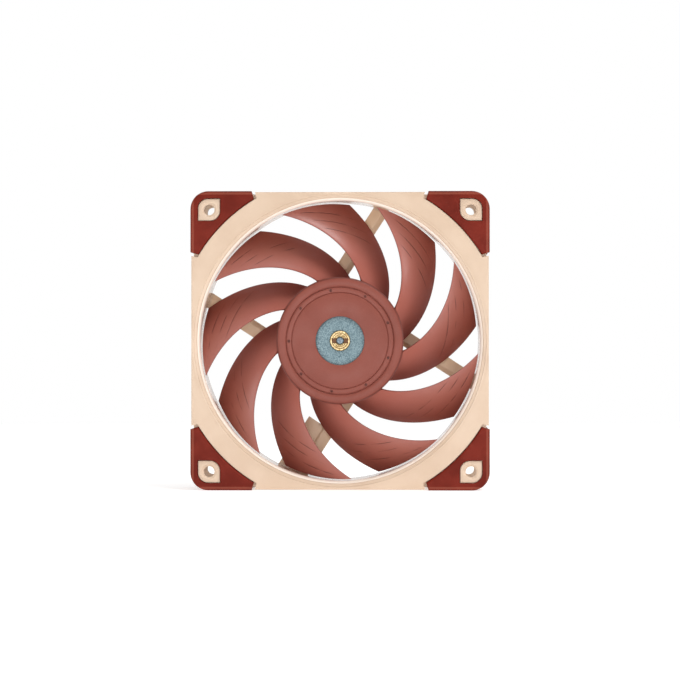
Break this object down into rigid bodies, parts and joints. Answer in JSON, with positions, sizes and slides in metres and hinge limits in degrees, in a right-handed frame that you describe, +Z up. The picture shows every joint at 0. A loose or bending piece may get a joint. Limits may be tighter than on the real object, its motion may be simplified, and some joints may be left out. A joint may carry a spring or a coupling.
{
  "type": "axial case fan",
  "caption": "Square axial fan for electronics enclosures: ducted swept-blade impeller on an outer-rotor motor, held by rear struts, with soft corner pads.",
  "frame": {"origin": "centre of the fan's box: on the impeller's axis, halfway between the intake face and the outlet face", "axes": "the fan stands on one edge: +Z up, +Y along the impeller's axis from the intake to the outlet, +X to the right seen from the intake side"},
  "size_m": [0.12, 0.025, 0.12],
  "materials": {
    "frame_plastic": "fine satin moulding",
    "pad_rubber": "soft matt rubber",
    "impeller_plastic": "satin moulding",
    "cup_steel": "plated",
    "ground_steel": "ground and polished",
    "brass": "turned",
    "sintered_bronze": "matt, oil filled",
    "ferrite": "matt, grey black",
    "lamination_steel": "stamped sheets",
    "nylon": "natural white",
    "copper": "enamelled wire",
    "board_laminate": "green solder mask",
    "black_resin": "black",
    "label_film": "blank printed film"
  },
  "bodies": {
    "housing": {"bearing_housing": "brass", "bearing_sleeve": "sintered_bronze", "bypass_capacitor": "black_resin", "circuit_board": "board_laminate", "coil_1": "copper", "coil_2": "copper", "coil_3": "copper", "coil_4": "copper", "coil_pin_1": "ground_steel", "coil_pin_2": "ground_steel", "coil_pin_3": "ground_steel", "coil_pin_4": "ground_steel", "driver_chip": "black_resin", "filter_capacitor": "black_resin", "frame": "frame_plastic", "front_insulator": "nylon", "front_pad_bottom_left": "pad_rubber", "front_pad_bottom_right": "pad_rubber", "front_pad_top_left": "pad_rubber", "front_pad_top_right": "pad_rubber", "hall_sensor": "black_resin", "input_diode": "black_resin", "oil_seal": "black_resin", "rear_insulator": "nylon", "rear_label": "label_film", "rear_pad_bottom_left": "pad_rubber", "rear_pad_bottom_right": "pad_rubber", "rear_pad_top_left": "pad_rubber", "rear_pad_top_right": "pad_rubber", "sense_resistor": "black_resin", "stabiliser_magnet": "ferrite", "stator_core": "lamination_steel", "thrust_pad": "nylon"},
    "rotor": {"impeller": "impeller_plastic", "rotor_yoke": "cup_steel", "ring_magnet": "ferrite", "hub_bushing": "brass", "shaft": "ground_steel", "shaft_clip": "ground_steel"}
  },
  "joints": [
    {"name": "impeller_spin", "type": "hinge", "parent": "housing", "child": "rotor", "pos_m": [0, 0, 0], "axis": [0, -1, 0], "continuous": true}
  ]
}
